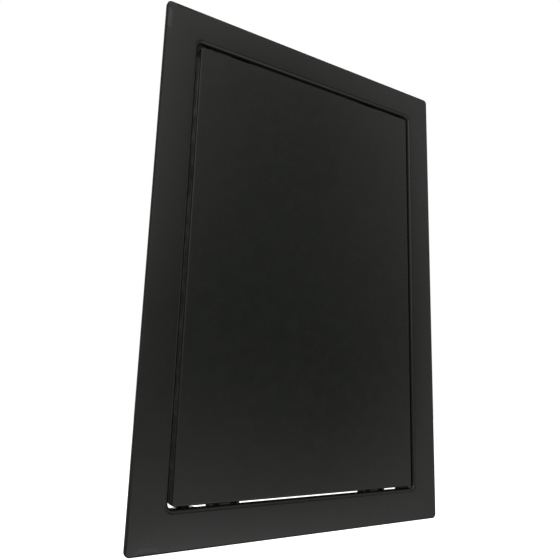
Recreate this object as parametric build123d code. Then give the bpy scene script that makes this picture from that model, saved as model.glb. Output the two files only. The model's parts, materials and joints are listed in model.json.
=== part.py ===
from build123d import *
import os
from math import cos, radians, sin, tan

# Access door for a wall or duct casing: a moulded frame, a side-hinged leaf and two spring catches.
# Millimetres. X to the right, Z up, +Y into the wall. Y = 0 is the wall face that the flange rests on,
# and the origin is the middle of the wall opening in that plane.

# Wall opening and frame
cutout_width = 200.0
cutout_height = 300.0
cutout_play = 2.0
flange_cover = 9.0
flange_thickness = 3.0
flange_skin = 2.2
flange_corner_radius = 3.0
flange_edge_radius = 1.0
flange_rim = 2.0
visible_border = 21.5
opening_corner_radius = 3.0
lip_return = 1.8
lip_edge_radius = 2.6
collar_depth = 25.0
collar_wall = 2.0
collar_corner_radius = 4.0
collar_lead_in = 0.8

# Fixing holes through the collar's long sides
fixing_from_corner = 90.0
fixing_depth = 17.0
fixing_hole_radius = 2.25
fixing_sink_radius = 4.2
fixing_pad_radius = 6.0
fixing_pad_height = 1.5

# Leaf
leaf_gap = 1.65
leaf_skin = 2.5
leaf_corner_radius = 2.0
leaf_edge_radius = 1.0
edge_wall = 1.8
edge_corner_radius = 0.4
rim_inset = 13.1
rim_wall = 1.8
rim_height = 5.0
rim_corner_radius = 4.0
rib_wall = 1.3
rib_height = 4.0
rib_draft = 1.0
ribs_across = 4
ribs_up = 8

# Clearances
running_clearance = 0.05
slide_clearance = 0.15
seat_clearance = 0.3

# Stop fingers behind the leaf's edges, and rest pads in the gap under the leaf
stop_width = 8.6
stop_from_corner = 46.0
stop_thickness = 2.5
stop_overlap = 3.0
stop_gusset_wall = 1.6
stop_gusset_length = 6.0
pad_width = 18.2
pad_drop = 2.0
pad_length = 6.0
pad_slot_width = 4.0
pad_slot_depth = 1.6
pad_slot_offset = 5.3

# Hinge
hinge_inset = 8.5
hinge_depth = 6.0
hinge_play = 1.1
pin_radius = 2.0
pin_tip_chamfer = 0.5
pin_engagement = 7.2
ear_radius = 4.0
lower_ear_length = 12.0
hinge_web = 1.8
bearing_root_radius = 3.8
bearing_tip_radius = 2.8
shelf_drop = 0.9
shelf_thickness = 2.0
shelf_reach = 26.0
shelf_corner_radius = 3.0
bracket_web = 1.6
pin_hole_spare = 0.4

# Spring-loaded upper hinge pin
upper_ear_length = 8.6
guide_drop = 30.0
guide_length = 4.0
knob_radius = 3.2
knob_length = 3.5
knob_gap = 2.0
knob_groove_depth = 0.6
clip_radius = 3.2
clip_thickness = 0.8
clip_groove_depth = 0.5
clip_mouth = 2.6
pin_spring_radius = 2.65
pin_spring_wire = 0.3
pin_spring_turns = 6

# Catches on the free side
catch_from_corner = 55.0
catch_gap = 0.7
bolt_thickness = 5.0
bolt_width = 6.0
bolt_tip_inset = 4.85
bolt_shoulder_width = 9.0
bolt_shoulder_length = 1.5
bolt_stroke = 3.0
bolt_bore_radius = 1.7
bolt_bore_wall = 1.0
housing_wall = 1.6
housing_face = 2.0
housing_back_room = 2.6
housing_edge_radius = 0.5
housing_foot_width = 2.0
housing_foot_thickness = 1.4
rail_wall = 1.6
rail_lip = 1.3
seat_pip_height = 1.0
seat_pip_length = 1.4
spring_spigot_radius = 0.75
spring_spigot_length = 2.0
catch_spring_radius = 1.2
catch_spring_wire = 0.2
catch_spring_turns = 6

# Keepers on the leaf
keeper_width = 8.0
keeper_arm = 2.2
keeper_bite = 2.2
keeper_slope = 40.0
keeper_nose_flat = 0.8
keeper_foot_length = 6.0
keeper_foot_width = 12.0
keeper_foot_height = 3.5
keeper_socket_wall = 1.4

# Sizes that follow from the ones above
flange_width = cutout_width + 2 * flange_cover
flange_height = cutout_height + 2 * flange_cover
flange_front = -flange_thickness
flange_back = flange_front + flange_skin
collar_width = cutout_width - 2 * cutout_play
collar_height = cutout_height - 2 * cutout_play
inner_x = collar_width / 2 - collar_wall
inner_z = collar_height / 2 - collar_wall
opening_width = flange_width - 2 * visible_border
opening_height = flange_height - 2 * visible_border
leaf_width = opening_width - 2 * leaf_gap
leaf_height = opening_height - 2 * leaf_gap
leaf_back = flange_front + leaf_skin
rim_x = leaf_width / 2 - rim_inset
rim_z = leaf_height / 2 - rim_inset
rim_back = leaf_back + rim_height
stop_front = rim_back + seat_clearance
hinge_x = hinge_inset - leaf_width / 2
hinge_y = flange_front + hinge_depth
leaf_drop = hinge_play / 2 - running_clearance
ear_z = leaf_height / 2
ring_z = ear_z + hinge_play / 2
shelf_z = opening_height / 2 + shelf_drop
pin_tip_z = ring_z + pin_engagement
clip_top_z = ear_z - upper_ear_length - seat_clearance
clip_low_z = clip_top_z - clip_thickness
guide_top_z = ear_z - guide_drop
guide_low_z = guide_top_z - guide_length
fixing_height = cutout_height / 2 - fixing_from_corner
stop_offset = cutout_width / 2 - stop_from_corner
catch_height = cutout_height / 2 - catch_from_corner
catch_y = rim_back + catch_gap + bolt_thickness / 2
bolt_tip_x = leaf_width / 2 - bolt_tip_inset
housing_back_x = inner_x - slide_clearance
bolt_back_x = housing_back_x - housing_back_room - bolt_stroke
shoulder_x = bolt_back_x - bolt_shoulder_length
cavity_x = shoulder_x - seat_clearance
housing_front_x = cavity_x - housing_face
bolt_bore_x = bolt_tip_x + bolt_thickness / 2 + bolt_bore_wall
housing_half_y = bolt_thickness / 2 + slide_clearance + housing_wall
housing_half_z = bolt_shoulder_width / 2 + slide_clearance + housing_wall
foot_half_z = housing_half_z + housing_foot_width
keeper_face_x = bolt_tip_x - seat_clearance


# An outline drawn in X and Z, thickened between two depths. Draft narrows it towards the back.
def slab(outline, y_near, y_far, draft=0.0):
    back_plane = Plane(origin=(0, y_far, 0), x_dir=(1, 0, 0), z_dir=(0, -1, 0))
    return extrude(back_plane * outline, amount=y_far - y_near, taper=-draft)


def block(x_low, x_high, y_low, y_high, z_low, z_high):
    middle = Pos((x_low + x_high) / 2, (y_low + y_high) / 2, (z_low + z_high) / 2)
    return middle * Box(x_high - x_low, y_high - y_low, abs(z_high - z_low))


def upright(x, y, z_low, z_high, radius):
    return Pos(x, y, (z_low + z_high) / 2) * Cylinder(radius, abs(z_high - z_low))


def crosswise(x_low, x_high, y, z, radius):
    return Pos((x_low + x_high) / 2, y, z) * Rot(0, 90, 0) * Cylinder(radius, x_high - x_low)


def round_spring(start, direction, length, radius, wire, turns):
    coil = Helix(length / turns, length, radius)
    section = Plane(origin=coil @ 0, z_dir=coil % 0) * Circle(wire)
    wound = sweep(section, path=coil, is_frenet=True)
    return Plane(origin=start, z_dir=direction) * wound


# Flange with a turned rim, a shallow glue channel behind it and a rounded lip round the opening
def make_flange():
    flange = slab(RectangleRounded(flange_width, flange_height, flange_corner_radius), flange_front, 0)
    flange -= slab(RectangleRounded(opening_width, opening_height, opening_corner_radius), flange_front, 0)
    face = flange.faces().sort_by(Axis.Y)[0]
    flange = fillet(face.outer_wire().edges(), flange_edge_radius)
    face = flange.faces().sort_by(Axis.Y)[0]
    flange = fillet(face.inner_wires()[0].edges(), lip_edge_radius)
    rim_outline = RectangleRounded(
        flange_width - 2 * flange_rim, flange_height - 2 * flange_rim, flange_corner_radius - flange_rim
    )
    lip_outline = RectangleRounded(
        opening_width + 2 * lip_return, opening_height + 2 * lip_return, opening_corner_radius + lip_return
    )
    return flange - slab(rim_outline - lip_outline, flange_back, 0)


def make_collar():
    outside = RectangleRounded(collar_width, collar_height, collar_corner_radius)
    inside = RectangleRounded(2 * inner_x, 2 * inner_z, collar_corner_radius - collar_wall)
    collar = slab(outside - inside, flange_back, collar_depth)
    end_face = collar.faces().sort_by(Axis.Y)[-1]
    return chamfer(end_face.outer_wire().edges(), collar_lead_in)


# A countersunk screw hole on a raised pad inside the collar's long side
def fixing_places():
    return [(side, z) for side in (-1, 1) for z in (-fixing_height, fixing_height)]


def fixing_pad(side, z):
    x_ends = sorted((side * inner_x, side * (inner_x - fixing_pad_height)))
    return crosswise(*x_ends, fixing_depth, z, fixing_pad_radius)


def fixing_hole(side, z):
    pad_x = inner_x - fixing_pad_height
    x_ends = sorted((side * pad_x, side * collar_width / 2))
    hole = crosswise(*x_ends, fixing_depth, z, fixing_hole_radius)
    sink_length = fixing_sink_radius - fixing_hole_radius
    sink = Cone(fixing_sink_radius, fixing_hole_radius, sink_length)
    return hole + Pos(side * (pad_x + sink_length / 2), fixing_depth, z) * Rot(0, side * 90, 0) * sink


# A finger that the leaf's rim closes against, drawn at the top of the frame and turned to its side.
# Two webs join it to the flange and two gussets to the collar.
def stop_finger(offset, wall, lip, leaf_edge, turn):
    tip = leaf_edge - stop_overlap
    half = stop_width / 2
    y_back = stop_front + stop_thickness
    finger = block(offset - half, offset + half, stop_front, y_back, tip, wall)
    for web in (offset - half, offset + half - stop_gusset_wall):
        finger += block(web, web + stop_gusset_wall, flange_back, stop_front, lip, wall)
        corners = [(y_back, wall), (y_back, lip), (y_back + stop_gusset_length, wall)]
        gusset = Plane.YZ.offset(web) * Polygon(*corners, align=None)
        finger += extrude(gusset, amount=stop_gusset_wall, dir=(1, 0, 0))
    return Rot(0, turn, 0) * finger


# A pad on the lower lip that the closed leaf can settle on. Two slots keep its wall even.
def rest_pad(offset):
    y_front = flange_front + pad_drop
    pad_top = -(leaf_height / 2 + leaf_drop + seat_clearance)
    pad_root = -(opening_height / 2 + lip_return)
    half = pad_width / 2
    pad = block(offset - half, offset + half, y_front, y_front + pad_length, pad_root, pad_top)
    for side in (-1, 1):
        low = offset + side * pad_slot_offset - pad_slot_width / 2
        slot_top = -opening_height / 2
        pad -= block(low, low + pad_slot_width, y_front, y_front + pad_slot_depth, slot_top, pad_top)
    return pad


def make_stops():
    half_leaf = leaf_height / 2
    half_opening = opening_height / 2
    stops = stop_finger(0, inner_x, opening_width / 2, leaf_width / 2, 90)
    for offset in (-stop_offset, stop_offset):
        stops += stop_finger(offset, inner_z, half_opening, half_leaf, 0)
        stops += stop_finger(offset, inner_z, half_opening, half_leaf, 180)
        stops += rest_pad(offset)
    return stops


# A corner bracket with the socket that a hinge pin turns in. Side is 1 at the top, -1 at the bottom.
def hinge_bracket(side):
    x_wall = -inner_x
    x_end = x_wall + shelf_reach
    y_far = hinge_y + ear_radius
    bracket = block(x_wall, x_end, flange_back, y_far, shelf_z, shelf_z + shelf_thickness)
    free_corner = bracket.edges().filter_by(Axis.Z).sort_by(Axis.X)[-2:].sort_by(Axis.Y)[-1]
    bracket = fillet(free_corner, shelf_corner_radius)
    bracket += upright(hinge_x, hinge_y, shelf_z, inner_z, ear_radius)
    y_web = y_far - shelf_corner_radius
    bracket += block(x_end - bracket_web, x_end, flange_back, y_web, shelf_z, inner_z)
    half_web = bracket_web / 2
    bracket += block(hinge_x - half_web, hinge_x + half_web, flange_back, hinge_y, shelf_z, inner_z)
    bracket += block(x_wall, hinge_x, hinge_y - half_web, hinge_y + half_web, shelf_z, inner_z)
    bearing = Cone(bearing_root_radius, bearing_tip_radius, shelf_z - ring_z)
    bracket += Pos(hinge_x, hinge_y, (ring_z + shelf_z) / 2) * Rot(180, 0, 0) * bearing
    bore_radius = pin_radius + running_clearance
    bore_end = pin_tip_z + leaf_drop + pin_hole_spare
    bracket -= upright(hinge_x, hinge_y, ring_z, bore_end, bore_radius)
    return bracket if side > 0 else mirror(bracket, about=Plane.XY)


# Guides on the free side that a catch slides into from the back, with a bar in front, a pip behind
# and a spigot for the catch's spring
def catch_seat(z):
    y_front = catch_y - housing_half_y - slide_clearance
    y_rear = catch_y + housing_half_y + slide_clearance
    x_lip = housing_back_x - housing_foot_thickness - slide_clearance
    x_low = x_lip - rail_lip
    rail_in = foot_half_z + slide_clearance
    rail_out = rail_in + rail_wall
    seat = block(x_low, inner_x, flange_back, y_front, z - rail_out, z + rail_out)
    for side in (-1, 1):
        wall_ends = sorted((z + side * rail_in, z + side * rail_out))
        lip_ends = sorted((z + side * (housing_half_z + slide_clearance), z + side * rail_out))
        seat += block(x_low, inner_x, y_front, y_rear, *wall_ends)
        seat += block(x_low, x_lip, y_front, y_rear, *lip_ends)
    pip_corners = [
        (inner_x, y_rear),
        (inner_x - seat_pip_height, y_rear),
        (inner_x, y_rear + seat_pip_length),
    ]
    pip = extrude(Polygon(*pip_corners, align=None), amount=bolt_width / 2, both=True)
    seat += Pos(0, 0, z) * pip
    return seat + crosswise(inner_x - spring_spigot_length, inner_x, catch_y, z, spring_spigot_radius)


def make_frame():
    frame = make_flange() + make_collar() + make_stops()
    for side in (-1, 1):
        frame += hinge_bracket(side)
        frame += catch_seat(side * catch_height)
    for place in fixing_places():
        frame += fixing_pad(*place)
    for place in fixing_places():
        frame -= fixing_hole(*place)
    return frame


# A hinge ear on the leaf's back: a round boss with a straight root and a web to the rim
def hinge_ear(z_low, z_high, bore_radius):
    ear = upright(hinge_x, hinge_y, z_low, z_high, ear_radius)
    ear += block(hinge_x - ear_radius, hinge_x + ear_radius, leaf_back, hinge_y, z_low, z_high)
    web_low = (z_low + z_high - hinge_web) / 2
    ear += block(hinge_x, rim_wall - rim_x, leaf_back, hinge_y, web_low, web_low + hinge_web)
    return ear, upright(hinge_x, hinge_y, z_low, z_high, bore_radius)


# A box on the rim's outer face, open at the back, that holds a keeper's foot
def keeper_socket(z):
    x_low = keeper_face_x - keeper_foot_length - slide_clearance
    x_high = keeper_face_x + slide_clearance
    half = keeper_foot_width / 2 + slide_clearance
    top = leaf_back + keeper_foot_height
    wall = keeper_socket_wall
    outside = block(rim_x, x_high + wall, leaf_back, top, z - half - wall, z + half + wall)
    return outside - block(x_low, x_high, leaf_back, top, z - half, z + half)


def make_ribs():
    inner_half_x = rim_x - rim_wall
    inner_half_z = rim_z - rim_wall
    pitch_x = 2 * inner_half_x / (ribs_across + 1)
    pitch_z = 2 * inner_half_z / (ribs_up + 1)
    rib_far = leaf_back + rib_height
    uprights = Sketch() + [
        Pos(pitch_x * (i + 1) - inner_half_x, 0) * Rectangle(rib_wall, 2 * inner_half_z + rim_wall)
        for i in range(ribs_across)
    ]
    bars = Sketch() + [
        Pos(0, pitch_z * (i + 1) - inner_half_z) * Rectangle(2 * inner_half_x + rim_wall, rib_wall)
        for i in range(ribs_up)
    ]
    return slab(uprights, leaf_back, rib_far, rib_draft) + slab(bars, leaf_back, rib_far, rib_draft)


def make_leaf():
    leaf = slab(RectangleRounded(leaf_width, leaf_height, leaf_corner_radius), flange_front, leaf_back)
    leaf = fillet(leaf.faces().sort_by(Axis.Y)[0].edges(), leaf_edge_radius)
    edge_outside = RectangleRounded(leaf_width, leaf_height, leaf_corner_radius)
    edge_inside = RectangleRounded(
        leaf_width - 2 * edge_wall, leaf_height - 2 * edge_wall, edge_corner_radius
    )
    leaf += slab(edge_outside - edge_inside, leaf_back, rim_back)
    rim_outside = RectangleRounded(2 * rim_x, 2 * rim_z, rim_corner_radius)
    inside_x = rim_x - rim_wall
    inside_z = rim_z - rim_wall
    rim_inside = RectangleRounded(2 * inside_x, 2 * inside_z, rim_corner_radius - rim_wall)
    leaf += slab(rim_outside - rim_inside, leaf_back, rim_back)
    leaf += make_ribs()
    ears = (
        hinge_ear(-ear_z, lower_ear_length - ear_z, pin_radius),
        hinge_ear(ear_z - upper_ear_length, ear_z, pin_radius + running_clearance),
        hinge_ear(guide_low_z, guide_top_z, pin_radius + running_clearance),
    )
    for ear, bore in ears:
        leaf += ear
        leaf -= bore
    for side in (-1, 1):
        leaf += keeper_socket(side * catch_height)
    return leaf


def make_lower_pin():
    pin = upright(hinge_x, hinge_y, -pin_tip_z, lower_ear_length - ear_z, pin_radius)
    ends = pin.edges().filter_by(GeomType.CIRCLE)
    return chamfer(ends, pin_tip_chamfer)


# The upper pin is turned: a chamfered tip, a groove for the clip and a grooved knob to pull it down
def make_upper_pin():
    knob_top = guide_low_z - knob_gap
    knob_low = knob_top - knob_length
    groove_radius = pin_radius - clip_groove_depth
    waist_radius = knob_radius - knob_groove_depth
    profile = [
        (0, knob_low),
        (knob_radius - knob_groove_depth, knob_low),
        (knob_radius, knob_low + knob_groove_depth),
        (waist_radius, (knob_low + knob_top) / 2),
        (knob_radius, knob_top - knob_groove_depth),
        (knob_radius - knob_groove_depth, knob_top),
        (pin_radius, knob_top),
        (pin_radius, clip_low_z - running_clearance),
        (groove_radius, clip_low_z - running_clearance),
        (groove_radius, clip_top_z + running_clearance),
        (pin_radius, clip_top_z + running_clearance),
        (pin_radius, pin_tip_z - pin_tip_chamfer),
        (pin_radius - pin_tip_chamfer, pin_tip_z),
        (0, pin_tip_z),
    ]
    turned = revolve(Plane.XZ * Polygon(*profile, align=None), Axis.Z)
    return Pos(hinge_x, hinge_y, 0) * turned


def make_clip():
    bore = pin_radius - clip_groove_depth + running_clearance
    outline = Circle(clip_radius) - Circle(bore)
    outline -= Pos(-clip_radius / 2, 0) * Rectangle(clip_radius, clip_mouth)
    return Pos(hinge_x, hinge_y, clip_low_z) * extrude(outline, amount=clip_thickness)


def make_pin_spring():
    low = guide_top_z + pin_spring_wire + running_clearance
    length = clip_low_z - pin_spring_wire - running_clearance - low
    return round_spring(
        (hinge_x, hinge_y, low), (0, 0, 1), length, pin_spring_radius, pin_spring_wire, pin_spring_turns
    )


# Catch body: a box open at the back with a square window for the bolt and two feet for the guides
def make_catch_housing(z):
    y_ends = (catch_y - housing_half_y, catch_y + housing_half_y)
    body = block(housing_front_x, housing_back_x, *y_ends, z - housing_half_z, z + housing_half_z)
    front = body.faces().sort_by(Axis.X)[0]
    body = fillet(front.edges(), housing_edge_radius)
    foot_x = housing_back_x - housing_foot_thickness
    body += block(foot_x, housing_back_x, *y_ends, z - foot_half_z, z + foot_half_z)
    half_y = bolt_thickness / 2 + slide_clearance
    half_shoulder = bolt_shoulder_width / 2 + slide_clearance
    half_window = bolt_width / 2 + slide_clearance
    bolt_ends = (catch_y - half_y, catch_y + half_y)
    body -= block(cavity_x, housing_back_x, *bolt_ends, z - half_shoulder, z + half_shoulder)
    body -= block(housing_front_x, cavity_x, *bolt_ends, z - half_window, z + half_window)
    return body


# Bolt: a full-round nose, shoulders that stop it inside the housing and a bore for its spring
def make_catch_bolt(z):
    nose = bolt_thickness / 2
    nose_x = bolt_tip_x + nose
    outline = Pos(nose_x, catch_y) * Circle(nose)
    shank_x = (nose_x + bolt_back_x) / 2
    outline += Pos(shank_x, catch_y) * Rectangle(bolt_back_x - nose_x, bolt_thickness)
    bolt = extrude(outline, amount=bolt_width / 2, both=True)
    shoulder_middle = (shoulder_x + bolt_back_x) / 2
    shoulder = Pos(shoulder_middle, catch_y) * Rectangle(bolt_shoulder_length, bolt_thickness)
    bolt += extrude(shoulder, amount=bolt_shoulder_width / 2, both=True)
    bolt -= crosswise(bolt_bore_x, bolt_back_x, catch_y, 0, bolt_bore_radius)
    return Pos(0, 0, z) * bolt


def make_catch_spring(z):
    start = bolt_bore_x + catch_spring_wire + running_clearance
    length = inner_x - catch_spring_wire - running_clearance - start
    return round_spring(
        (start, catch_y, z), (1, 0, 0), length, catch_spring_radius, catch_spring_wire, catch_spring_turns
    )


# Keeper: a foot in the leaf's socket and an arm whose nose hooks behind the bolt. The nose's front
# flank lies one seat clearance off the bolt's round nose.
def make_keeper(z):
    slope = radians(keeper_slope)
    nose = bolt_thickness / 2
    reach = nose + seat_clearance
    touch_x = bolt_tip_x + nose - reach * sin(slope)
    touch_y = catch_y + reach * cos(slope)
    tip_x = bolt_tip_x + keeper_bite
    flank_low = touch_y - (touch_x - keeper_face_x) * tan(slope)
    flank_high = touch_y + (tip_x - touch_x) * tan(slope)
    end_y = flank_high + keeper_nose_flat + (tip_x - keeper_face_x) * tan(slope)
    arm_x = keeper_face_x - keeper_arm
    foot_top = leaf_back + keeper_foot_height
    corners = [
        (arm_x, foot_top),
        (keeper_face_x, foot_top),
        (keeper_face_x, flank_low),
        (tip_x, flank_high),
        (tip_x, flank_high + keeper_nose_flat),
        (keeper_face_x, end_y),
        (arm_x, end_y),
    ]
    arm = extrude(Polygon(*corners, align=None), amount=keeper_width / 2, both=True)
    half_foot = keeper_foot_width / 2
    foot_x = keeper_face_x - keeper_foot_length
    keeper = arm + block(foot_x, keeper_face_x, leaf_back, foot_top, -half_foot, half_foot)
    return Pos(0, 0, z) * keeper


# The leaf and all that it carries rest on the lower bearing, at the low end of the hinge's play
on_leaf = Pos(0, 0, -leaf_drop)
pieces = {
    "frame": make_frame(),
    "door_leaf": on_leaf * make_leaf(),
    "hinge_pin_lower": on_leaf * make_lower_pin(),
    "hinge_pin_upper": on_leaf * make_upper_pin(),
    "hinge_pin_clip": on_leaf * make_clip(),
    "hinge_pin_spring": on_leaf * make_pin_spring(),
}
for place, side in (("upper", 1), ("lower", -1)):
    height = side * catch_height
    pieces[f"catch_housing_{place}"] = make_catch_housing(height)
    pieces[f"catch_bolt_{place}"] = make_catch_bolt(height)
    pieces[f"catch_spring_{place}"] = make_catch_spring(height)
    pieces[f"keeper_{place}"] = on_leaf * make_keeper(height)

os.makedirs("parts", exist_ok=True)
for node, piece in pieces.items():
    export_step(piece, f"parts/{node}.step")
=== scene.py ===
import bpy
import json
import math
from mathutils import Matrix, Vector

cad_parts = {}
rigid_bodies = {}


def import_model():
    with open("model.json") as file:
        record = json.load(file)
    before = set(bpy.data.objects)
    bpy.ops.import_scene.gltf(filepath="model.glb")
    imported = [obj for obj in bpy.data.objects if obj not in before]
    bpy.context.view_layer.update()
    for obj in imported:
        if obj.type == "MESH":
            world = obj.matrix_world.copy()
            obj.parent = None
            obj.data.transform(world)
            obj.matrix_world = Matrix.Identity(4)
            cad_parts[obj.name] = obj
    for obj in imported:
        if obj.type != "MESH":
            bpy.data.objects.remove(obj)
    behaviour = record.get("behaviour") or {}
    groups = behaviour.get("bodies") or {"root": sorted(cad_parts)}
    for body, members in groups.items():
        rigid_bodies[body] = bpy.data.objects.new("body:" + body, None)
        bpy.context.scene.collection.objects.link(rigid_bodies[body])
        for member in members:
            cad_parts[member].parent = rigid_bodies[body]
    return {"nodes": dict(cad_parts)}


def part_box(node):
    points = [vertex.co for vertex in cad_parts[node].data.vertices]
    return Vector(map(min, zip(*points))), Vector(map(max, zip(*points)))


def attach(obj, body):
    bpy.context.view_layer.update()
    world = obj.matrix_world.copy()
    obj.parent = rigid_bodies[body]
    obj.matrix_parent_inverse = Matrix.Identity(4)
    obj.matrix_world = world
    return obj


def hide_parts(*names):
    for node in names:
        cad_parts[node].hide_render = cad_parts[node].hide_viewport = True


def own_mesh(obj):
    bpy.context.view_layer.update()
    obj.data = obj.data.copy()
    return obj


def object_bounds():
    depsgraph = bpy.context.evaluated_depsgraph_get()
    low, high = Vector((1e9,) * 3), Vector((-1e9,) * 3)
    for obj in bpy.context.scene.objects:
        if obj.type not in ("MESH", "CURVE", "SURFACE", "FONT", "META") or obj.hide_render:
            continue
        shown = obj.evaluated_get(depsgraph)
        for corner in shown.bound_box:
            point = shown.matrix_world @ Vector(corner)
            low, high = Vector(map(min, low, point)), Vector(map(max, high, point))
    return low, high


# Black moulded access door, seen from its front left and a little below. All lengths are in metres.
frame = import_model()
cadBox = [list(corner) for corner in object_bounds()]
mm = 0.001
print("frame loaded:", len(frame["nodes"]), "nodes")

# the camera stands where the photograph was taken from
cameraView = {
    "place": (-0.19337, -0.29256, -0.07091),
    "turn": (100.980, -1.724, -30.686),  # degrees
    "lens": 34.80,
    "sensor": 36.0,
    "clipStart": 0.01,
}

# soft boxes: place, width and height, power in watts, and whether gloss shows them; each one faces
# the door's middle
softBoxes = {
    "keySoftBox": {"place": (-0.9, -1.1, 1.3), "size": (1.2, 0.9), "power": 16.0, "inGloss": False},
    "fillSoftBox": {"place": (1.7, -0.3, 0.5), "size": (1.0, 1.2), "power": 6.0, "inGloss": False},
    "backSoftBox": {"place": (0.5, 1.5, 1.3), "size": (1.4, 1.0), "power": 20.0, "inGloss": True},
}

# the room round the door: white to the eye, even for matt surfaces, and for gloss a light room with
# an unlit part to the front right, glows round that part, and dimmer sides and back
room = {
    "white": "#ffffff",
    "shade": 0.55,  # what a matt surface gets from all round
    "lit": 0.608,  # what gloss gets from the lit part
    "unlit": 0.063,
    "unlitToSide": 15.3,  # degrees to the right of straight ahead
    "unlitUp": 8.7,
    "unlitCore": 31.4,  # degrees from its middle that stay dark
    "unlitReach": 33.1,  # degrees from its middle to full light
    "unlitHeight": 0.843,  # how much higher than wide it is
    "glows": (
        {"toSide": 15.9, "up": -30.6, "reach": 38.3, "gain": 0.9},
        {"toSide": -7.3, "up": 25.9, "reach": 37.7, "gain": 1.1},
        {"toSide": 42.0, "up": 16.9, "reach": 20.1, "gain": 0.171},
    ),
    "dimCore": 30.0,  # degrees from the unlit part's middle where the dimming starts
    "dimReach": 62.0,
    "dim": 0.36,
}

floorPlan = {
    "drop": 0.34,  # below the lowest edge of the door, which hangs on a wall
    "size": 12.0,
    "colour": "#f2f2f0",
    "lift": 0.30,  # added for the camera under the door, so that the lit floor reads as white
    "farLift": 0.75,  # the same, far from the door, where the lamps fall off
    "farFrom": 0.8,
    "farTo": 1.5,
}


# sRGB hex to the linear values that a shader socket takes
def linear(hexColour):
    channels = [int(hexColour[i:i + 2], 16) / 255 for i in (1, 3, 5)]
    return [c / 12.92 if c <= 0.04045 else ((c + 0.055) / 1.055) ** 2.4 for c in channels] + [1.0]


# adds a node with its settings; a socket takes a value, another node's first output or any socket
def addNode(tree, kind, sockets=None, **settings):
    node = tree.nodes.new(kind)
    for key, value in settings.items():
        setattr(node, key, value)
    for key, value in (sockets or {}).items():
        if isinstance(value, bpy.types.Node):
            value = value.outputs[0]
        if isinstance(value, bpy.types.NodeSocket):
            tree.links.new(value, node.inputs[key])
        else:
            node.inputs[key].default_value = value
    return node


# most of a noise's values lie between these
noiseLow, noiseHigh = 0.3, 0.7
# a wave texture of scale 1 draws about this many bands in a unit of length
bandsAtScaleOne = 3.14


def newMaterial(name, ior, metallic=0.0):
    material = bpy.data.materials.new(name)
    material.use_nodes = True
    tree = material.node_tree
    tree.nodes.clear()
    shader = addNode(tree, "ShaderNodeBsdfPrincipled", {"Metallic": metallic})
    if ior:
        shader.inputs["IOR"].default_value = ior
    addNode(tree, "ShaderNodeOutputMaterial", {"Surface": shader})
    place = addNode(tree, "ShaderNodeTexCoord").outputs["Object"]
    return material, tree, shader, place


# how far a point lies outside a rectangle of these half sizes, drawn round the middle in X and Z
def outsideOf(tree, axes, halfX, halfZ, middleZ):
    awayX = addNode(tree, "ShaderNodeMath", {0: axes.outputs["X"]}, operation="ABSOLUTE")
    centred = addNode(tree, "ShaderNodeMath", {0: axes.outputs["Z"], 1: middleZ}, operation="SUBTRACT")
    awayZ = addNode(tree, "ShaderNodeMath", {0: centred}, operation="ABSOLUTE")
    overX = addNode(tree, "ShaderNodeMath", {0: awayX, 1: halfX}, operation="SUBTRACT")
    overZ = addNode(tree, "ShaderNodeMath", {0: awayZ, 1: halfZ}, operation="SUBTRACT")
    return addNode(tree, "ShaderNodeMath", {0: overX, 1: overZ}, operation="MAXIMUM")


# Injection-moulded ABS, black. Its show face comes from a finely etched tool, so it has a soft, even
# sheen, and its hidden side from a milled one, so it is duller and shows the cutter's lines. Handling
# has burnished the outer edges to a slightly lighter, smoother line.
mouldedAbs = {
    "dark": "#0f120d",
    "light": "#121510",
    "burnished": "#171914",
    "ior": 1.53,
    "grain": 0.55 * mm,  # the real etch is 0.1 mm, drawn coarser so that it shows
    "grainDepth": 0.004 * mm,
    "waveLength": 45 * mm,  # slow waves from cooling
    "waveDepth": 0.012 * mm,
    "faceRoughness": (0.25, 0.29),
    "backRoughness": (0.44, 0.56),
    "edgeRoughness": 0.24,
    "faceFrom": -1.9 * mm,  # from here back the show finish gives way to the hidden one
    "faceTo": -0.9 * mm,
    "toolMark": 0.7 * mm,
    "toolDepth": 0.0015 * mm,
    "polish": 9 * mm,  # size of the slightly duller patches
    "scuff": 6 * mm,  # size of the gaps in the burnished line
    "scuffFrom": 0.42,
    "scuffTo": 0.66,
}

# where the frame's burnished edge runs: half its width, half its height and its reach
frameSkin = {"edgeX": 108.5 * mm, "edgeZ": 158.5 * mm, "edgeReach": 0.9 * mm, "middleZ": 0.0}

# the leaf's burnished edge, and the ribs behind it, which draw its skin in as it cools
leafSkin = {
    "edgeX": 85.5 * mm,
    "edgeZ": 135.5 * mm,
    "edgeReach": 0.8 * mm,
    "middleZ": -0.5 * mm,
    "ribsAcross": 4,
    "ribsUp": 8,
    "ribHalfX": 70.95 * mm,
    "ribHalfZ": 120.95 * mm,
    "sinkDepth": 0.0035 * mm,
    "sinkWidth": 2.6 * mm,
}


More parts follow.
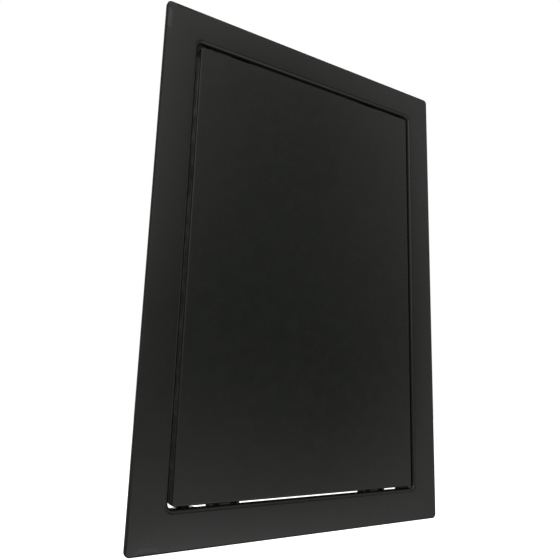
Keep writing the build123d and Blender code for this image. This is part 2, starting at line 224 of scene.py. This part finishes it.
def makeMouldedAbs(name, skin):
    values = mouldedAbs
    material, tree, shader, place = newMaterial(name, values["ior"])
    axes = addNode(tree, "ShaderNodeSeparateXYZ", {0: place})
    showFace = addNode(tree, "ShaderNodeMapRange",
                       {0: axes.outputs["Y"], 1: values["faceFrom"], 2: values["faceTo"], 3: 1.0, 4: 0.0},
                       interpolation_type="SMOOTHSTEP")
    hidden = addNode(tree, "ShaderNodeMath", {0: 1.0, 1: showFace}, operation="SUBTRACT")
    cloud = addNode(tree, "ShaderNodeTexNoise",
                    {"Vector": place, "Scale": 1 / values["waveLength"], "Detail": 3.0})
    polish = addNode(tree, "ShaderNodeTexNoise",
                     {"Vector": place, "Scale": 1 / values["polish"], "Detail": 4.0})
    scuffs = addNode(tree, "ShaderNodeTexNoise", {"Vector": place, "Scale": 1 / values["scuff"],
                                                  "Detail": 5.0, "Roughness": 0.65})
    over = outsideOf(tree, axes, skin["edgeX"], skin["edgeZ"], skin["middleZ"])
    away = addNode(tree, "ShaderNodeMath", {0: over}, operation="ABSOLUTE")
    worn = addNode(tree, "ShaderNodeMapRange", {0: away, 1: 0.0, 2: skin["edgeReach"], 3: 1.0, 4: 0.0},
                   interpolation_type="SMOOTHSTEP")
    patchy = addNode(tree, "ShaderNodeMapRange",
                     {0: scuffs, 1: values["scuffFrom"], 2: values["scuffTo"], 3: 0.0, 4: 1.0},
                     interpolation_type="SMOOTHSTEP")
    wear = addNode(tree, "ShaderNodeMath", {0: worn, 1: patchy}, operation="MULTIPLY")

    plain = addNode(tree, "ShaderNodeMix",
                    {0: cloud, 6: linear(values["dark"]), 7: linear(values["light"])}, data_type="RGBA")
    colour = addNode(tree, "ShaderNodeMix", {0: wear, 6: plain.outputs[2], 7: linear(values["burnished"])},
                     data_type="RGBA")
    tree.links.new(colour.outputs[2], shader.inputs["Base Color"])

    faceLow, faceHigh = values["faceRoughness"]
    backLow, backHigh = values["backRoughness"]
    faceGloss = addNode(tree, "ShaderNodeMapRange",
                        {0: polish, 1: noiseLow, 2: noiseHigh, 3: faceLow, 4: faceHigh})
    backGloss = addNode(tree, "ShaderNodeMapRange",
                        {0: polish, 1: noiseLow, 2: noiseHigh, 3: backLow, 4: backHigh})
    gloss = addNode(tree, "ShaderNodeMix", {0: showFace, 2: backGloss, 3: faceGloss})
    roughness = addNode(tree, "ShaderNodeMix", {0: wear, 2: gloss, 3: values["edgeRoughness"]})
    tree.links.new(roughness.outputs[0], shader.inputs["Roughness"])

    grain = addNode(tree, "ShaderNodeTexNoise", {"Vector": place, "Scale": 1 / values["grain"],
                                                 "Detail": 3.0, "Roughness": 0.62})
    faceGrain = addNode(tree, "ShaderNodeMath", {0: grain, 1: showFace}, operation="MULTIPLY")
    toolLines = addNode(tree, "ShaderNodeTexWave",
                        {"Vector": place, "Scale": 1 / values["toolMark"] / bandsAtScaleOne,
                         "Distortion": 1.2, "Detail": 2.0}, bands_direction="Z")
    backLines = addNode(tree, "ShaderNodeMath", {0: toolLines.outputs["Fac"], 1: hidden},
                        operation="MULTIPLY")
    bump = addNode(tree, "ShaderNodeBump", {"Height": cloud, "Strength": 1.0,
                                            "Distance": values["waveDepth"]})
    bump = addNode(tree, "ShaderNodeBump", {"Height": faceGrain, "Strength": 1.0,
                                            "Distance": values["grainDepth"], "Normal": bump})
    bump = addNode(tree, "ShaderNodeBump", {"Height": backLines, "Strength": 1.0,
                                            "Distance": values["toolDepth"], "Normal": bump})
    tree.links.new(bump.outputs[0], shader.inputs["Normal"])
    return material, tree, shader, axes, bump


def makeLeafAbs():
    material, tree, shader, axes, bump = makeMouldedAbs("leafMouldedAbs", leafSkin)
    centred = addNode(tree, "ShaderNodeMath", {0: axes.outputs["Z"], 1: leafSkin["middleZ"]},
                      operation="SUBTRACT")
    pitchX = 2 * leafSkin["ribHalfX"] / (leafSkin["ribsAcross"] + 1)
    pitchZ = 2 * leafSkin["ribHalfZ"] / (leafSkin["ribsUp"] + 1)
    ribAways = []
    for along, pitch in ((axes.outputs["X"], pitchX), (centred, pitchZ)):
        shifted = addNode(tree, "ShaderNodeMath", {0: along, 1: pitch / 2}, operation="ADD")
        ribAways.append(addNode(tree, "ShaderNodeMath", {0: shifted, 1: pitch / 2}, operation="PINGPONG"))
    nearest = addNode(tree, "ShaderNodeMath", {0: ribAways[0], 1: ribAways[1]}, operation="MINIMUM")
    sink = addNode(tree, "ShaderNodeMapRange",
                   {0: nearest, 1: 0.0, 2: leafSkin["sinkWidth"], 3: -leafSkin["sinkDepth"], 4: 0.0},
                   interpolation_type="SMOOTHSTEP")
    over = outsideOf(tree, axes, leafSkin["ribHalfX"], leafSkin["ribHalfZ"], leafSkin["middleZ"])
    within = addNode(tree, "ShaderNodeMapRange",
                     {0: over, 1: 0.0, 2: leafSkin["sinkWidth"], 3: 1.0, 4: 0.0},
                     interpolation_type="SMOOTHSTEP")
    height = addNode(tree, "ShaderNodeMath", {0: sink, 1: within}, operation="MULTIPLY")
    sunk = addNode(tree, "ShaderNodeBump", {"Height": height, "Strength": 1.0, "Distance": 1.0,
                                            "Normal": bump})
    tree.links.new(sunk.outputs[0], shader.inputs["Normal"])
    return material


# Glass-filled nylon, moulded, dark grey. It looks dry and slightly mottled where the fibres lie.
glassNylon = {
    "dark": "#2c2d2e",
    "light": "#3a3b3c",
    "ior": 1.53,
    "fibre": 0.5 * mm,  # real fibres are 0.3 mm long
    "depth": 0.008 * mm,
    "roughness": (0.48, 0.62),
}


def makeGlassNylon(name):
    values = glassNylon
    material, tree, shader, place = newMaterial(name, values["ior"])
    fibres = addNode(tree, "ShaderNodeTexNoise", {"Vector": place, "Scale": 1 / values["fibre"],
                                                  "Detail": 5.0, "Roughness": 0.7})
    colour = addNode(tree, "ShaderNodeMix",
                     {0: fibres, 6: linear(values["dark"]), 7: linear(values["light"])}, data_type="RGBA")
    tree.links.new(colour.outputs[2], shader.inputs["Base Color"])
    low, high = values["roughness"]
    gloss = addNode(tree, "ShaderNodeMapRange", {0: fibres, 1: noiseLow, 2: noiseHigh, 3: low, 4: high})
    tree.links.new(gloss.outputs[0], shader.inputs["Roughness"])
    bump = addNode(tree, "ShaderNodeBump", {"Height": fibres, "Strength": 1.0, "Distance": values["depth"]})
    tree.links.new(bump.outputs[0], shader.inputs["Normal"])
    return material


# Acetal, moulded, natural white. It is waxy and slightly see-through, and its nose, at the low end of
# X, is rubbed smoother and greyer by the keeper.
naturalAcetal = {
    "dark": "#dcd9cd",
    "light": "#e8e6dc",
    "rubbed": "#c9c5b6",
    "ior": 1.48,
    "mottle": 1.6 * mm,
    "scuff": 0.35 * mm,
    "depth": 0.004 * mm,
    "roughness": (0.27, 0.42),
    "scuffFrom": 0.35,
    "scuffTo": 0.75,
    "noseX": 81.0 * mm,
    "noseLength": 3.0 * mm,
    "glowThrough": 0.12,
    "glowDepth": 0.6 * mm,
}


def makeNaturalAcetal(name):
    values = naturalAcetal
    material, tree, shader, place = newMaterial(name, values["ior"])
    axes = addNode(tree, "ShaderNodeSeparateXYZ", {0: place})
    mottle = addNode(tree, "ShaderNodeTexNoise",
                     {"Vector": place, "Scale": 1 / values["mottle"], "Detail": 3.0})
    scuffs = addNode(tree, "ShaderNodeTexNoise", {"Vector": place, "Scale": 1 / values["scuff"],
                                                  "Detail": 4.0, "Roughness": 0.7})
    nose = addNode(tree, "ShaderNodeMapRange",
                   {0: axes.outputs["X"], 1: values["noseX"], 2: values["noseX"] + values["noseLength"],
                    3: 1.0, 4: 0.0}, interpolation_type="SMOOTHSTEP")
    rubbed = addNode(tree, "ShaderNodeMath", {0: nose, 1: scuffs}, operation="MULTIPLY")
    plain = addNode(tree, "ShaderNodeMix",
                    {0: mottle, 6: linear(values["dark"]), 7: linear(values["light"])}, data_type="RGBA")
    colour = addNode(tree, "ShaderNodeMix", {0: rubbed, 6: plain.outputs[2], 7: linear(values["rubbed"])},
                     data_type="RGBA")
    tree.links.new(colour.outputs[2], shader.inputs["Base Color"])
    low, high = values["roughness"]
    gloss = addNode(tree, "ShaderNodeMapRange",
                    {0: scuffs, 1: values["scuffFrom"], 2: values["scuffTo"], 3: low, 4: high})
    tree.links.new(gloss.outputs[0], shader.inputs["Roughness"])
    bump = addNode(tree, "ShaderNodeBump", {"Height": scuffs, "Strength": 1.0, "Distance": values["depth"]})
    tree.links.new(bump.outputs[0], shader.inputs["Normal"])
    shader.inputs["Subsurface Weight"].default_value = values["glowThrough"]
    shader.inputs["Subsurface Scale"].default_value = values["glowDepth"]
    return material


# Turned steel, zinc plated. Fine turning rings run round the pin under a cool, slightly cloudy plate.
zincSteel = {
    "dark": "#a9adb2",
    "light": "#c3c7ca",
    "cloud": 2.5 * mm,
    "ring": 0.35 * mm,  # the real feed is 0.1 mm, drawn coarser so that it shows
    "ringDepth": 0.003 * mm,
    "roughness": (0.24, 0.38),
}


def makeZincSteel(name):
    values = zincSteel
    material, tree, shader, place = newMaterial(name, None, 1.0)
    cloud = addNode(tree, "ShaderNodeTexNoise",
                    {"Vector": place, "Scale": 1 / values["cloud"], "Detail": 4.0})
    colour = addNode(tree, "ShaderNodeMix",
                     {0: cloud, 6: linear(values["dark"]), 7: linear(values["light"])}, data_type="RGBA")
    tree.links.new(colour.outputs[2], shader.inputs["Base Color"])
    low, high = values["roughness"]
    gloss = addNode(tree, "ShaderNodeMapRange", {0: cloud, 1: noiseLow, 2: noiseHigh, 3: low, 4: high})
    tree.links.new(gloss.outputs[0], shader.inputs["Roughness"])
    rings = addNode(tree, "ShaderNodeTexWave",
                    {"Vector": place, "Scale": 1 / values["ring"] / bandsAtScaleOne, "Distortion": 0.4,
                     "Detail": 2.0}, bands_direction="Z")
    bump = addNode(tree, "ShaderNodeBump", {"Height": rings.outputs["Fac"], "Strength": 1.0,
                                            "Distance": values["ringDepth"]})
    tree.links.new(bump.outputs[0], shader.inputs["Normal"])
    return material


# Spring steel. The wire is drawn and oiled, with patches of oxide; the clip is punched and
# phosphated, so it is nearly black and dull.
springSteel = {"oxide": 0.9 * mm, "scratch": 0.12 * mm, "depth": 0.002 * mm}
drawnWire = {"dark": "#6f7073", "light": "#96989b", "roughness": (0.28, 0.46)}
phosphatedClip = {"dark": "#3f4042", "light": "#5c5d60", "roughness": (0.42, 0.58)}


def makeSpringSteel(name, surface):
    values = springSteel
    material, tree, shader, place = newMaterial(name, None, 1.0)
    oxide = addNode(tree, "ShaderNodeTexNoise", {"Vector": place, "Scale": 1 / values["oxide"],
                                                 "Detail": 4.0, "Roughness": 0.6})
    colour = addNode(tree, "ShaderNodeMix",
                     {0: oxide, 6: linear(surface["dark"]), 7: linear(surface["light"])},
                     data_type="RGBA")
    tree.links.new(colour.outputs[2], shader.inputs["Base Color"])
    low, high = surface["roughness"]
    gloss = addNode(tree, "ShaderNodeMapRange", {0: oxide, 1: noiseLow, 2: noiseHigh, 3: low, 4: high})
    tree.links.new(gloss.outputs[0], shader.inputs["Roughness"])
    scratches = addNode(tree, "ShaderNodeTexNoise", {"Vector": place, "Scale": 1 / values["scratch"]})
    bump = addNode(tree, "ShaderNodeBump", {"Height": scratches, "Strength": 1.0,
                                            "Distance": values["depth"]})
    tree.links.new(bump.outputs[0], shader.inputs["Normal"])
    return material


finishes = {
    "frameAbs": makeMouldedAbs("frameMouldedAbs", frameSkin)[0],
    "leafAbs": makeLeafAbs(),
    "nylon": makeGlassNylon("catchGlassNylon"),
    "acetal": makeNaturalAcetal("boltNaturalAcetal"),
    "zincSteel": makeZincSteel("pinZincSteel"),
    "springWire": makeSpringSteel("drawnSpringWire", drawnWire),
    "clipSteel": makeSpringSteel("clipPhosphateSteel", phosphatedClip),
}
nodeFinish = {
    "frame": "frameAbs",
    "door_leaf": "leafAbs",
    "hinge_pin_lower": "zincSteel",
    "hinge_pin_upper": "zincSteel",
    "hinge_pin_clip": "clipSteel",
    "catch_housing_upper": "nylon",
    "catch_housing_lower": "nylon",
    "keeper_upper": "nylon",
    "keeper_lower": "nylon",
    "catch_bolt_upper": "acetal",
    "catch_bolt_lower": "acetal",
}
for nodeName, finish in nodeFinish.items():
    mesh = frame["nodes"][nodeName].data
    mesh.materials.clear()
    mesh.materials.append(finishes[finish])
print("finishes set on", len(nodeFinish), "moulded and turned pieces")


def deselectAll():
    if bpy.context.object and bpy.context.object.mode != "OBJECT":
        bpy.ops.object.mode_set(mode="OBJECT")
    bpy.ops.object.select_all(action="DESELECT")


# The flange's face is slightly crowned: it falls back towards its outer edge. A copy of the CAD frame
# gets cuts along the flange's face, and what lies there is moved back, further out by more.
flangeCrown = {
    "halfX": 90.1 * mm,  # half width and half height where the face's fall begins
    "halfZ": 140.1 * mm,
    "width": 17.9 * mm,
    "strips": 6,
    "fall": 0.30 * mm,  # at the face's outer edge
    "faceY": -3.0 * mm,
    "edgeY": -1.9 * mm,  # the rounded outer edge in front of this moves along
    "cornering": 4,  # the higher, the sharper the turn from side to side
    "merge": 0.001 * mm,  # points closer than this are one
    "squareness": 0.99,  # how squarely the flat face looks ahead
    "smoothAngle": 30,  # degrees
}


def editOnly(piece):
    deselectAll()
    piece.select_set(True)
    bpy.context.view_layer.objects.active = piece
    bpy.ops.object.mode_set(mode="EDIT")


# cuts the flat front of the flange along one plane
def cutFront(piece, place, normal):
    editOnly(piece)
    bpy.ops.mesh.select_mode(type="FACE")
    bpy.ops.mesh.select_all(action="DESELECT")
    bpy.ops.object.mode_set(mode="OBJECT")
    for face in piece.data.polygons:
        inFace = abs(face.center.y - flangeCrown["faceY"]) < flangeCrown["merge"]
        face.select = inFace and face.normal.y < -flangeCrown["squareness"]
    bpy.ops.object.mode_set(mode="EDIT")
    bpy.ops.mesh.bisect(plane_co=place, plane_no=normal, threshold=flangeCrown["merge"] / 10)
    bpy.ops.object.mode_set(mode="OBJECT")


def makeCrownedFrame(name):
    values = flangeCrown
    piece = frame["nodes"]["frame"].copy()
    piece.data = piece.data.copy()
    piece.name = name
    bpy.context.scene.collection.objects.link(piece)
    editOnly(piece)
    bpy.ops.mesh.select_all(action="SELECT")
    bpy.ops.mesh.remove_doubles(threshold=values["merge"])
    # the closed pockets inside the moulding are left out
    bpy.ops.mesh.select_mode(type="VERT")
    bpy.ops.mesh.select_all(action="DESELECT")
    bpy.ops.object.mode_set(mode="OBJECT")
    min(piece.data.vertices, key=lambda vertex: vertex.co.x).select = True
    bpy.ops.object.mode_set(mode="EDIT")
    bpy.ops.mesh.select_linked()
    bpy.ops.mesh.select_all(action="INVERT")
    bpy.ops.mesh.delete(type="VERT")
    bpy.ops.object.mode_set(mode="OBJECT")
    bpy.ops.mesh.customdata_custom_splitnormals_clear()
    for strip in range(values["strips"]):
        out = values["width"] * strip / values["strips"]
        for side in (-1, 1):
            cutFront(piece, (side * (values["halfX"] + out), 0, 0), (1, 0, 0))
            cutFront(piece, (0, 0, side * (values["halfZ"] + out)), (0, 0, 1))
    power = values["cornering"]
    for vertex in piece.data.vertices:
        if vertex.co.y < values["edgeY"]:
            outX = max(abs(vertex.co.x) - values["halfX"], 0) / values["width"]
            outZ = max(abs(vertex.co.z) - values["halfZ"], 0) / values["width"]
            out = (outX ** power + outZ ** power) ** (1 / power)
            vertex.co.y += values["fall"] * out ** 2
    bpy.ops.object.shade_smooth_by_angle(angle=math.radians(values["smoothAngle"]))
    weighting = piece.modifiers.new("weighting", "WEIGHTED_NORMAL")
    weighting.keep_sharp = True
    bpy.ops.object.modifier_apply(modifier=weighting.name)
    return piece


crownedFrame = makeCrownedFrame("frame_moulding")
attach(crownedFrame, "fixed_frame")
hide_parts("frame")
print("flange crowned:", len(crownedFrame.data.polygons), "faces")


# what all coils share
coilWire = {
    "closedPitch": 1.04,  # of a closed turn, in wire thicknesses
    "merge": 0.05,  # points closer than this share of the wire's radius are one
    "smoothAngle": 50,  # degrees
}

# the spring under the clip keeps the upper hinge pin up in its socket
pinSpring = {"coilRadius": 2.65 * mm, "wireRadius": 0.3 * mm, "openTurns": 6, "travel": 7.5 * mm,
             "stepsPerTurn": 40, "wireSides": 12}

# each catch's spring stands on the frame and pushes its bolt out
catchSpring = {"coilRadius": 1.2 * mm, "wireRadius": 0.2 * mm, "openTurns": 6, "travel": 3.0 * mm,
               "stepsPerTurn": 28, "wireSides": 10}


# one stretch of wire: a ring of the wire's section, wound round Z by a screw
def woundStretch(name, spring, startHeight, pitch, turns):
    deselectAll()
    bpy.ops.mesh.primitive_circle_add(
        vertices=spring["wireSides"], radius=spring["wireRadius"],
        location=(spring["coilRadius"], 0, startHeight), rotation=(math.radians(90), 0, 0),
    )
    stretch = bpy.context.object
    stretch.name = name
    bpy.ops.object.transform_apply(location=True, rotation=True, scale=True)
    winding = stretch.modifiers.new("winding", "SCREW")
    winding.axis = "Z"
    winding.angle = 2 * math.pi
    winding.screw_offset = pitch
    winding.iterations = turns
    winding.steps = spring["stepsPerTurn"]
    winding.render_steps = spring["stepsPerTurn"]
    winding.use_merge_vertices = False
    bpy.ops.object.modifier_apply(modifier=winding.name)
    return stretch


# a compression spring along Z: one closed turn at each end and open turns between
def makeCoil(name, spring, length):
    wireRadius = spring["wireRadius"]
    openTurns = spring["openTurns"]
    closed = 2 * wireRadius * coilWire["closedPitch"]
    openPitch = (length - 2 * wireRadius - 2 * closed) / openTurns
    stretches = []
    height = wireRadius
    for pitch, turns in ((closed, 1), (openPitch, openTurns), (closed, 1)):
        stretches.append(woundStretch(name, spring, height, pitch, turns))
        height += pitch * turns
    deselectAll()
    for stretch in stretches:
        stretch.select_set(True)
    coil = stretches[0]
    bpy.context.view_layer.objects.active = coil
    bpy.ops.object.join()
    coil.name = name
    bpy.ops.object.mode_set(mode="EDIT")
    bpy.ops.mesh.select_mode(type="VERT")
    bpy.ops.mesh.select_all(action="SELECT")
    bpy.ops.mesh.remove_doubles(threshold=wireRadius * coilWire["merge"])
    bpy.ops.mesh.select_all(action="DESELECT")
    bpy.ops.mesh.select_non_manifold()
    bpy.ops.mesh.fill_holes(sides=spring["wireSides"])
    bpy.ops.mesh.select_all(action="SELECT")
    bpy.ops.mesh.normals_make_consistent(inside=False)
    bpy.ops.mesh.select_all(action="DESELECT")
    bpy.ops.object.mode_set(mode="OBJECT")
    bpy.ops.object.shade_smooth_by_angle(angle=math.radians(coilWire["smoothAngle"]))
    return coil


# moves a finished piece to its place, turned about Y if asked, and leaves that place in its mesh
def settle(piece, place, turnY=0.0):
    deselectAll()
    piece.select_set(True)
    bpy.context.view_layer.objects.active = piece
    piece.rotation_euler = (0, turnY, 0)
    piece.location = place
    bpy.ops.object.transform_apply(location=True, rotation=True, scale=True)


low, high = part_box("hinge_pin_spring")
pinCoil = makeCoil("pin_spring_coil", pinSpring, high.z - low.z)
middle = (low + high) / 2
settle(pinCoil, (middle.x, middle.y, low.z))
pinCoil.data.materials.append(finishes["springWire"])
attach(pinCoil, "leaf")
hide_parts("hinge_pin_spring")
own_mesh(pinCoil)

for place in ("upper", "lower"):
    low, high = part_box("catch_spring_" + place)
    length = high.x - low.x
    coil = makeCoil("catch_coil_" + place, catchSpring, length)
    middle = (low + high) / 2
    settle(coil, (low.x, middle.y, middle.z), math.radians(90))
    coil.data.materials.append(finishes["springWire"])
    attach(coil, "fixed_frame")
    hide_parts("catch_spring_" + place)
    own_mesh(coil)
print("three coil springs wound")

# a pale matt floor, well below the door; the camera sees it lifted to white, and it keeps a shadow
deselectAll()
bpy.ops.mesh.primitive_plane_add(size=floorPlan["size"], location=(0, 0, cadBox[0][2] - floorPlan["drop"]))
floor = bpy.context.object
floor.name = "studio_floor"
floorPaint = bpy.data.materials.new("floorPaint")
floorPaint.use_nodes = True
tree = floorPaint.node_tree
tree.nodes.clear()
place = addNode(tree, "ShaderNodeTexCoord").outputs["Object"]
fromDoor = addNode(tree, "ShaderNodeVectorMath", {0: place}, operation="LENGTH").outputs["Value"]
lift = addNode(tree, "ShaderNodeMapRange",
               {0: fromDoor, 1: floorPlan["farFrom"], 2: floorPlan["farTo"], 3: floorPlan["lift"],
                4: floorPlan["farLift"]}, interpolation_type="SMOOTHSTEP")
rays = addNode(tree, "ShaderNodeLightPath")
seen = addNode(tree, "ShaderNodeMath",
               {0: rays.outputs["Is Camera Ray"], 1: rays.outputs["Is Transmission Ray"]},
               operation="MAXIMUM")
strength = addNode(tree, "ShaderNodeMath", {0: lift, 1: seen}, operation="MULTIPLY")
matt = addNode(tree, "ShaderNodeBsdfDiffuse", {"Color": linear(floorPlan["colour"])})
glow = addNode(tree, "ShaderNodeEmission", {"Color": linear(room["white"]), "Strength": strength})
paint = addNode(tree, "ShaderNodeAddShader", {0: matt, 1: glow})
addNode(tree, "ShaderNodeOutputMaterial", {"Surface": paint})
floor.data.materials.append(floorPaint)
floor.visible_glossy = False  # gloss sees the room's own bright floor instead


# a direction from degrees to the right of straight ahead and degrees up
def towards(toSide, up):
    side, height = math.radians(toSide), math.radians(up)
    return Vector((math.sin(side) * math.cos(height), -math.cos(side) * math.cos(height), math.sin(height)))


world = bpy.data.worlds.new("studioRoom")
bpy.context.scene.world = world
world.use_nodes = True
tree = world.node_tree
tree.nodes.clear()
look = addNode(tree, "ShaderNodeTexCoord").outputs["Generated"]
flatten = Vector((1.0, 1.0, 1.0 / room["unlitHeight"]))
squeezed = addNode(tree, "ShaderNodeVectorMath", {0: look, 1: flatten}, operation="MULTIPLY")
straight = addNode(tree, "ShaderNodeVectorMath", {0: squeezed}, operation="NORMALIZE")
unlit = (towards(room["unlitToSide"], room["unlitUp"]) * flatten).normalized()
facing = addNode(tree, "ShaderNodeVectorMath", {0: straight, 1: unlit}, operation="DOT_PRODUCT")
away = addNode(tree, "ShaderNodeMath", {0: facing.outputs["Value"]}, operation="ARCCOSINE")
glossLight = addNode(tree, "ShaderNodeMapRange",
                     {0: away, 1: math.radians(room["unlitCore"]), 2: math.radians(room["unlitReach"]),
                      3: room["unlit"], 4: room["lit"]}, interpolation_type="SMOOTHSTEP")
for glowing in room["glows"]:
    facing = addNode(tree, "ShaderNodeVectorMath", {0: look, 1: towards(glowing["toSide"], glowing["up"])},
                     operation="DOT_PRODUCT")
    away = addNode(tree, "ShaderNodeMath", {0: facing.outputs["Value"]}, operation="ARCCOSINE")
    added = addNode(tree, "ShaderNodeMapRange",
                    {0: away, 1: 0.0, 2: math.radians(glowing["reach"]), 3: glowing["gain"], 4: 0.0},
                    interpolation_type="SMOOTHSTEP")
    glossLight = addNode(tree, "ShaderNodeMath", {0: glossLight, 1: added}, operation="ADD")
facing = addNode(tree, "ShaderNodeVectorMath",
                 {0: look, 1: towards(room["unlitToSide"], room["unlitUp"])}, operation="DOT_PRODUCT")
away = addNode(tree, "ShaderNodeMath", {0: facing.outputs["Value"]}, operation="ARCCOSINE")
dimming = addNode(tree, "ShaderNodeMapRange",
                  {0: away, 1: math.radians(room["dimCore"]), 2: math.radians(room["dimReach"]),
                   3: 1.0, 4: room["dim"]}, interpolation_type="SMOOTHSTEP")
glossLight = addNode(tree, "ShaderNodeMath", {0: glossLight, 1: dimming}, operation="MULTIPLY")
rays = addNode(tree, "ShaderNodeLightPath")
unseen = addNode(tree, "ShaderNodeMix", {0: rays.outputs["Is Glossy Ray"], 2: room["shade"], 3: glossLight})
seen = addNode(tree, "ShaderNodeMath",
               {0: rays.outputs["Is Camera Ray"], 1: rays.outputs["Is Transmission Ray"]},
               operation="MAXIMUM")
level = addNode(tree, "ShaderNodeMix", {0: seen, 2: unseen, 3: 1.0})
background = addNode(tree, "ShaderNodeBackground", {"Color": linear(room["white"]), "Strength": level})
addNode(tree, "ShaderNodeOutputWorld", {"Surface": background})

boxMiddle = (Vector(cadBox[0]) + Vector(cadBox[1])) / 2
for name, values in softBoxes.items():
    lamp = bpy.data.lights.new(name, "AREA")
    lamp.shape = "RECTANGLE"
    lamp.size, lamp.size_y = values["size"]
    lamp.energy = values["power"]
    box = bpy.data.objects.new(name, lamp)
    bpy.context.scene.collection.objects.link(box)
    box.location = values["place"]
    box.rotation_euler = (boxMiddle - box.location).to_track_quat("-Z", "Y").to_euler()
    box.visible_glossy = values["inGloss"]
print("studio lit by", len(softBoxes), "soft boxes")

camera = bpy.data.objects.new("photoCamera", bpy.data.cameras.new("photoCamera"))
bpy.context.scene.collection.objects.link(camera)
camera.location = cameraView["place"]
camera.rotation_euler = [math.radians(angle) for angle in cameraView["turn"]]
camera.data.lens = cameraView["lens"]
camera.data.sensor_width = cameraView["sensor"]
camera.data.clip_start = cameraView["clipStart"]
bpy.context.scene.camera = camera
bpy.context.scene.view_settings.view_transform = "Standard"
